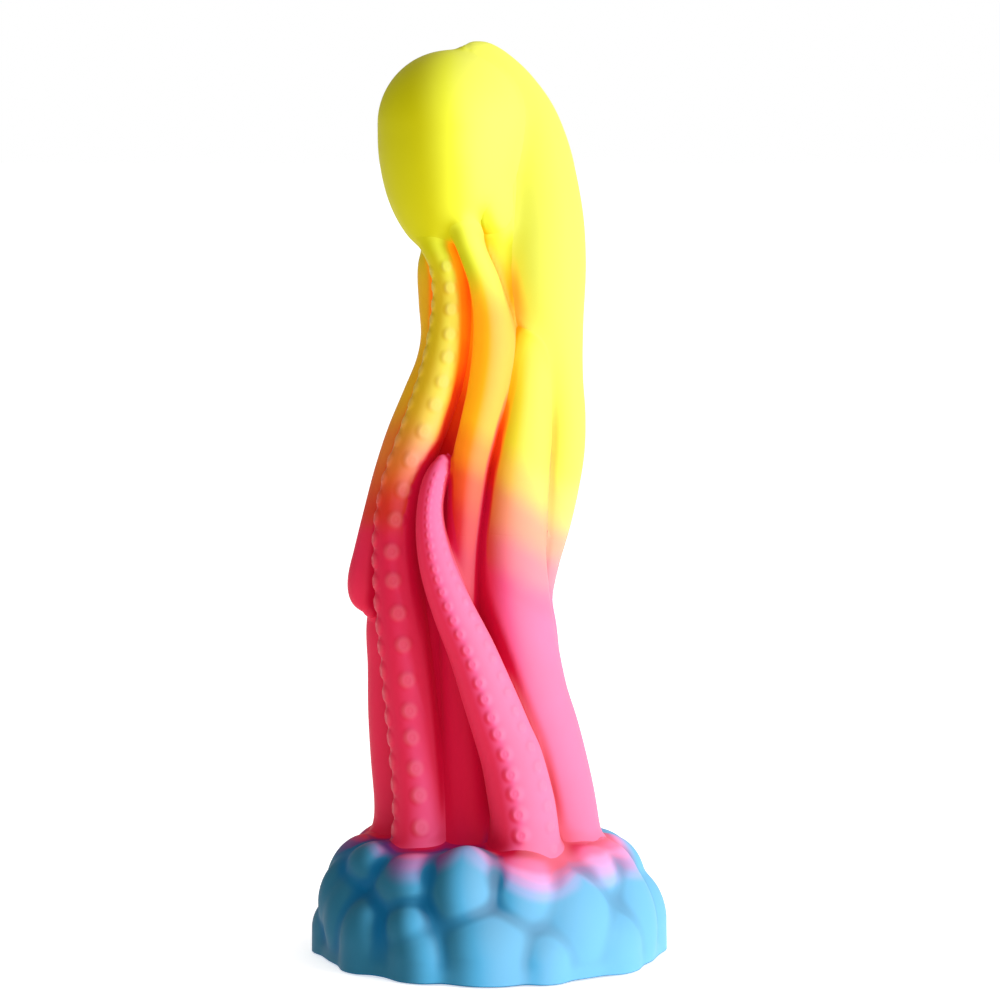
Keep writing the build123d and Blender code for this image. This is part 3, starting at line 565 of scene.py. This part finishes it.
# ------------------------------------------------------------------ material
def silicone():
    mat = bpy.data.materials.new("cast_silicone")
    mat.use_nodes = True
    nt = mat.node_tree
    nd, ln = nt.nodes, nt.links
    nd.clear()
    out = nd.new("ShaderNodeOutputMaterial")
    bs = nd.new("ShaderNodeBsdfPrincipled")
    ln.new(bs.outputs[0], out.inputs[0])
    tone = nd.new("ShaderNodeAttribute")
    # painted crease shade, read from the mesh
    tone.attribute_name = "tone"
    crease_shade_node = nd.new("ShaderNodeAttribute")
    crease_shade_node.attribute_name = "crease_shade"
    geo = nd.new("ShaderNodeTexCoord")
    noise = nd.new("ShaderNodeTexNoise")
    noise.inputs["Scale"].default_value = 70.0
    noise.inputs["Detail"].default_value = 4.0
    ln.new(geo.outputs["Object"], noise.inputs["Vector"])
    # marbling where two pours meet
    mix = nd.new("ShaderNodeMath")
    mix.operation = "MULTIPLY_ADD"
    mix.inputs[1].default_value = 0.16
    ln.new(noise.outputs["Fac"], mix.inputs[0])
    shift = nd.new("ShaderNodeMath")
    shift.operation = "SUBTRACT"
    shift.inputs[1].default_value = 0.08
    ln.new(tone.outputs["Fac"], shift.inputs[0])
    ln.new(shift.outputs[0], mix.inputs[2])
    half = nd.new("ShaderNodeMath")
    half.operation = "MULTIPLY"
    half.inputs[1].default_value = 0.5
    ln.new(mix.outputs[0], half.inputs[0])

    def ramp(stops):
        r = nd.new("ShaderNodeValToRGB")
        r.color_ramp.interpolation = "EASE"
        e = r.color_ramp.elements
        e[0].position, e[0].color = stops[0][0], (*stops[0][1], 1)
        e[1].position, e[1].color = stops[-1][0], (*stops[-1][1], 1)
        for p, c in stops[1:-1]:
            n = e.new(p)
            n.color = (*c, 1)
        return r
    # lit and shaded copies of the same colours, and a darker copy for the painted crease shade
    painted_lit_ramp = ramp([(0.02, (0.86, 0.87, 0.048)), (0.14, (0.93, 0.66, 0.10)), (0.26, (0.96, 0.36, 0.21)), (0.36, (0.96, 0.22, 0.29)), (0.46, (0.94, 0.120, 0.29)),
                      (0.56, (0.94, 0.145, 0.36)), (0.66, (0.88, 0.29, 0.62)), (0.76, (0.58, 0.34, 0.70)), (0.86, (0.27, 0.42, 0.76)), (0.95, (0.09, 0.42, 0.70))])
    painted_shade_ramp = ramp([(0.02, (0.60, 0.55, 0.002)), (0.12, (0.76, 0.42, 0.012)), (0.24, (0.74, 0.20, 0.028)), (0.37, (0.66, 0.052, 0.024)), (0.46, (0.80, 0.026, 0.075)),
                       (0.56, (0.80, 0.024, 0.085)), (0.66, (0.52, 0.045, 0.17)), (0.76, (0.20, 0.075, 0.24)), (0.95, (0.022, 0.15, 0.24))])
    crease_shade_ramp = ramp([(0.02, (1.0, 0.36, 0.004)), (0.12, (0.92, 0.19, 0.004)), (0.24, (0.72, 0.05, 0.004)), (0.36, (0.56, 0.008, 0.006)), (0.46, (0.50, 0.003, 0.028)),
                      (0.56, (0.50, 0.004, 0.035)), (0.66, (0.26, 0.006, 0.075)), (0.76, (0.09, 0.02, 0.13)), (0.95, (0.002, 0.09, 0.20))])
    for r in (painted_lit_ramp, painted_shade_ramp, crease_shade_ramp):
        ln.new(half.outputs[0], r.inputs[0])

    def attribute(name):
        n = nd.new("ShaderNodeAttribute")
        n.attribute_name = name
        return n

    def remap(source, low, high, to_low, to_high):
        n = nd.new("ShaderNodeMapRange")
        n.interpolation_type = "SMOOTHSTEP"
        for key, value in (("From Min", low), ("From Max", high), ("To Min", to_low), ("To Max", to_high)):
            n.inputs[key].default_value = value
        ln.new(source, n.inputs["Value"])
        return n.outputs["Result"]

    def blend_colour(factor, a, b, kind="MIX"):
        n = nd.new("ShaderNodeMix")
        n.data_type = "RGBA"
        n.blend_type = kind
        ln.new(factor, n.inputs[0])
        ln.new(a, n.inputs[6])
        if isinstance(b, tuple):
            n.inputs[7].default_value = b
        else:
            ln.new(b, n.inputs[7])
        return n.outputs[2]
    # painted shade from the painted lamp light
    painted_shade = remap(attribute("painted_lit").outputs["Fac"], 0.10, 0.80, 1.0, 0.0)
    # painted crease shade, darkening the folds
    depth = remap(crease_shade_node.outputs["Fac"], 0.18, 0.78, 0.0, 1.0)
    disc = remap(attribute("pale").outputs["Fac"], 0.0, 1.0, 0.0, 0.07)
    # painted highlight: the most lit side is washed towards white
    painted_highlight = remap(attribute("painted_lit").outputs["Fac"], 0.62, 1.0, 0.0, 0.085)
    colour = blend_colour(painted_shade, painted_lit_ramp.outputs["Color"], painted_shade_ramp.outputs["Color"])
    colour = blend_colour(depth, colour, crease_shade_ramp.outputs["Color"])
    colour = blend_colour(painted_highlight, colour, (1.0, 0.95, 0.92, 1))
    colour = blend_colour(disc, colour, (0.95, 0.72, 0.62, 1))
    ln.new(colour, bs.inputs["Base Color"])
    # painted glow: the folds emit their crease colour, standing in for light that has soaked through
    ln.new(crease_shade_ramp.outputs["Color"], bs.inputs["Emission Color"])
    painted_glow = remap(crease_shade_node.outputs["Fac"], 0.20, 0.78, 0.0, 0.22)
    ln.new(painted_glow, bs.inputs["Emission Strength"])
    # satin finish, slightly uneven
    fine = nd.new("ShaderNodeTexNoise")
    fine.inputs["Scale"].default_value = 420.0
    fine.inputs["Detail"].default_value = 3.0
    ln.new(geo.outputs["Object"], fine.inputs["Vector"])
    rough = nd.new("ShaderNodeMapRange")
    rough.inputs["To Min"].default_value = 0.44
    rough.inputs["To Max"].default_value = 0.56
    ln.new(fine.outputs["Fac"], rough.inputs["Value"])
    ln.new(rough.outputs["Result"], bs.inputs["Roughness"])
    grain = nd.new("ShaderNodeTexNoise")
    grain.inputs["Scale"].default_value = 1800.0
    grain.inputs["Detail"].default_value = 2.0
    ln.new(geo.outputs["Object"], grain.inputs["Vector"])
    bump = nd.new("ShaderNodeBump")
    bump.inputs["Strength"].default_value = 0.05
    bump.inputs["Distance"].default_value = 0.0002
    ln.new(grain.outputs["Fac"], bump.inputs["Height"])
    ln.new(bump.outputs[0], bs.inputs["Normal"])
    bs.inputs["Specular IOR Level"].default_value = 0.09
    bs.inputs["IOR"].default_value = 1.41
    bs.inputs["Sheen Weight"].default_value = 0.02
    bs.inputs["Sheen Roughness"].default_value = 0.45
    return mat


SILICONE = silicone()

# ------------------------------------------------------------------ pieces
def low_skin(ob, *nodes):
    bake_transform(ob)
    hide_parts(*nodes)


def high_skin(ob, *nodes):
    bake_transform(ob)
    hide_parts(*nodes)


DENSE = {"front_arm": (144, 0.36), "sucker_arm": (120, 0.36)}
for name in ARMS:
    around, step = DENSE.get(name, (96, 0.5))
    if name == "front_arm":
        ob, V = build("front_arm_skin", [tube(name, around=around, step=step)])
        dress(ob, V, name)
        low_skin(ob, "front_arm_lower", "front_arm_middle")
    elif name == "left_arm":
        ob, V = build("left_arm_skin", [tube(name, around=around, step=step)])
        dress(ob, V, name)
        high_skin(ob, "left_arm_middle", "left_arm_upper")
    else:
        ob, V = build(name + "_skin_lower", [tube(name, z_to=SPLIT_Z, around=around, step=step)])
        dress(ob, V, name)
        low_skin(ob, name + "_lower", name + "_middle")
        ob, V = build(name + "_skin_upper", [tube(name, z_from=SPLIT_Z, around=around, step=step)])
        dress(ob, V, name)
        high_skin(ob, name + "_upper")

ob, V = build("core_skin_lower", [tube("core", z_to=SPLIT_Z, around=96, step=0.9)])
dress(ob, V, "core")
low_skin(ob, "core_lower", "core_middle")
ob, V = build("core_skin_upper", [tube("core", z_from=SPLIT_Z, around=96, step=0.9)])
dress(ob, V, "core")
high_skin(ob, "core_upper")

ob, V = build("siphon_skin", [tube("siphon", around=48, step=0.3)])
dress(ob, V)
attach(ob, "head")
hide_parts("siphon")

rows, around = ((200, 240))
N, quads, tris = ball_directions(rows, around)
centre = np.array([-9.4, -3.0, 189.0])
rho0 = own_radius(centre, N, lambda P: chain_distance(P, CHAINS["mantle"]), 16.0, 30.0)
ringed = rho0[:-2].reshape(rows - 1, around)
for _ in range(12):
    ringed[1:-1] = (ringed[:-2] + ringed[1:-1] * 2 + ringed[2:]) / 4
rho0[:-2] = ringed.ravel()
P, _ = settle(np.repeat(centre[None], len(N), 0), N, rho0, "mantle", reach=2.4, exact=True)
ob, V = build("mantle_skin", [(P, quads, tris)])
dress(ob, V)
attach(ob, "head")
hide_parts("mantle")

# rock base: the pebbles and the ground between them are one moulded surface
STONE_AXES = [(c, R, h, math.atan2(c[0], -c[1])) for c, R, h in STONES]


def base_distance(Q):
    D = [foot_distance(Q), mound_distance(Q)] + [stone_distance(Q, i) for i in range(len(STONES))]
    D = np.stack(D)
    low = D.min(0)
    K = 0.6
    F = low - K * np.log(np.exp(-np.minimum(D - low, 20 * K) / K).sum(0))
    floor = 0.25 - Q[:, 2]                       # rounded over at the bottom edge
    return 0.5 * np.logaddexp(F / 0.5, floor / 0.5)


def base_directions(rows, around):
    e = np.radians(np.linspace(-8.6, 88.5, rows))
    th = np.linspace(0, 2 * math.pi, around, endpoint=False)
    E, T = np.meshgrid(e, th, indexing="ij")
    return np.stack([np.cos(E) * np.cos(T), np.cos(E) * np.sin(T), np.sin(E)], -1)


centre = np.array([0.0, 0.0, 6.5])
rows, around = ((190, 560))
few = base_directions(46, 140)
rho = np.full(few.shape[:2], 54.0)
for _ in range(26):
    rho = np.clip(rho - 0.85 * base_distance(centre + few.reshape(-1, 3) * rho.ravel()[:, None]).reshape(rho.shape), 4.0, 54.0)
fi, fj = np.linspace(0, 45, rows), np.arange(around) * 140 / around
i0, j0 = np.clip(fi.astype(int), 0, 44), fj.astype(int)
wi, wj = (fi - i0)[:, None], (fj - j0)[None, :]
j1 = (j0 + 1) % 140
rho = ((1 - wi) * (1 - wj) * rho[i0][:, j0] + (1 - wi) * wj * rho[i0][:, j1] + wi * (1 - wj) * rho[i0 + 1][:, j0] + wi * wj * rho[i0 + 1][:, j1])
dirs = base_directions(rows, around)
for _ in range(7):
    rho = np.clip(rho - 0.85 * base_distance(centre + dirs.reshape(-1, 3) * rho.ravel()[:, None]).reshape(rho.shape), 4.0, 54.0)
N = dirs.reshape(-1, 3)
start = rho.ravel()
P, _ = settle(np.repeat(centre[None], len(N), 0), N, start, "base", reach=2.2, steps=4)
P = P.reshape(rows, around, 3)
P[:, :, 2] = np.maximum(P[:, :, 2], 0.12)
V = np.concatenate([P.reshape(-1, 3), [[0, 0, 0.9], [0, 0, P[-1, :, 2].mean()]]])
j = np.arange(around)
jn = (j + 1) % around
quads = np.concatenate([np.stack([i * around + j, i * around + jn, (i + 1) * around + jn, (i + 1) * around + j], 1) for i in range(rows - 1)])
tris = np.concatenate([np.stack([np.full(around, rows * around), jn, j], 1), np.stack([np.full(around, rows * around + 1), (rows - 1) * around + j, (rows - 1) * around + jn], 1)])
ob, V = build("rock_base_skin", [(V, quads, tris)])
dress(ob, V, "base")
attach(ob, "base")
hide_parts("rock_mound", "front_pebbles", "left_pebbles", "right_pebbles", "rear_pebbles")

# foot: turned profile with the suction dish underneath
around = 288
profile = [(r, 2.2 * (1 - (r / 33.0) ** 2)) for r in np.linspace(0.6, 33.0, 16)]
profile += [(33.6, 0.0), (35.0, 0.0), (36.5, 0.0), (38.0, 0.0)]
profile += [(FOOT_R - 1.2 + 1.2 * math.sin(a), 1.2 - 1.2 * math.cos(a)) for a in np.radians((0, 18, 36, 54, 72, 90))][1:]
profile += [(FOOT_R - 1.2 + 1.2 * math.cos(a), FOOT_H - 1.2 + 1.2 * math.sin(a)) for a in np.radians((0, 10, 30, 50, 70, 90))]
profile += [(r, FOOT_H) for r in (38, 36, 30, 20, 10, 0.6)]
profile = np.array(profile)
th = np.linspace(0, 2 * math.pi, around, endpoint=False)
R0 = np.repeat(profile[:, 0][:, None], around, 1)
Z0 = np.repeat(profile[:, 1][:, None], around, 1)
V = np.stack([R0 * np.cos(th), R0 * np.sin(th), Z0], -1).reshape(-1, 3)
n = len(profile)
V = np.concatenate([V, [[0, 0, 2.2], [0, 0, FOOT_H]]])
j = np.arange(around)
jn = (j + 1) % around
quads = np.concatenate([np.stack([i * around + j, i * around + jn, (i + 1) * around + jn, (i + 1) * around + j], 1) for i in range(n - 1)])
tris = np.concatenate([np.stack([np.full(around, n * around), jn, j], 1), np.stack([np.full(around, n * around + 1), (n - 1) * around + j, (n - 1) * around + jn], 1)])
ob, V = build("suction_foot_skin", [(V, quads, tris)])
dress(ob, V)
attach(ob, "base")
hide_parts("suction_foot")

# ------------------------------------------------------------------ stage, light, camera
bpy.ops.mesh.primitive_plane_add(size=80.0, location=(0, 0, -0.0002))
floor = bpy.context.object
floor.name = "floor"
fm = bpy.data.materials.new("pale_floor")
fm.use_nodes = True
fb = fm.node_tree.nodes["Principled BSDF"]
fb.inputs["Base Color"].default_value = (0.93, 0.93, 0.93, 1)
fb.inputs["Roughness"].default_value = 0.9
fb.inputs["Specular IOR Level"].default_value = 0.1
fb.inputs["Emission Color"].default_value = (1, 1, 1, 1)
fb.inputs["Emission Strength"].default_value = 0.62
floor.data.materials.append(fm)

scene = bpy.context.scene
world = bpy.data.worlds.new("studio")
scene.world = world
world.use_nodes = True
wn, wl = world.node_tree.nodes, world.node_tree.links
wn.clear()
wo = wn.new("ShaderNodeOutputWorld")
bg = wn.new("ShaderNodeBackground")
tc = wn.new("ShaderNodeTexCoord")
dot = wn.new("ShaderNodeVectorMath")
dot.operation = "DOT_PRODUCT"
dot.inputs[1].default_value = (0.88, 0.05, 0.40)
mr = wn.new("ShaderNodeMapRange")
mr.interpolation_type = "SMOOTHSTEP"
mr.inputs["From Min"].default_value = -0.70
mr.inputs["From Max"].default_value = 0.72
mr.inputs["To Min"].default_value = 0.17
mr.inputs["To Max"].default_value = 0.80
wl.new(tc.outputs["Generated"], dot.inputs[0])
wl.new(dot.outputs["Value"], mr.inputs["Value"])
path = wn.new("ShaderNodeLightPath")
seen = wn.new("ShaderNodeMix")
seen.data_type = "FLOAT"
wl.new(path.outputs["Is Camera Ray"], seen.inputs[0])
wl.new(mr.outputs["Result"], seen.inputs[2])
seen.inputs[3].default_value = 1.0
wl.new(seen.outputs[0], bg.inputs["Strength"])
bg.inputs["Color"].default_value = (1, 1, 1, 1)
wl.new(bg.outputs[0], wo.inputs[0])


def area(name, loc, target, size, power, colour=(1, 1, 1)):
    ld = bpy.data.lights.new(name, "AREA")
    ld.energy, ld.size, ld.color = power, size, colour
    lo = bpy.data.objects.new(name, ld)
    scene.collection.objects.link(lo)
    lo.location = loc
    d = np.array(target) - np.array(loc)
    from mathutils import Vector
    lo.rotation_euler = Vector(d).to_track_quat("-Z", "Y").to_euler()
    return lo


area("key_right", (0.95, -0.47, 0.44), (0, 0, 0.11), 0.55, 8.0)
area("fill_front", (0.10, -1.15, 0.40), (0, 0, 0.11), 0.8, 0.45)

cam = bpy.data.cameras.new("camera")
cam.lens = 138.13
cam.sensor_width = 36.0
cam.clip_start, cam.clip_end = 0.05, 20
co = bpy.data.objects.new("camera", cam)
scene.collection.objects.link(co)
co.location = (0.00233, -0.900, 0.195)
co.rotation_euler = (math.radians(90 - 5.56), 0, 0)
scene.camera = co
scene.view_settings.view_transform = "Standard"
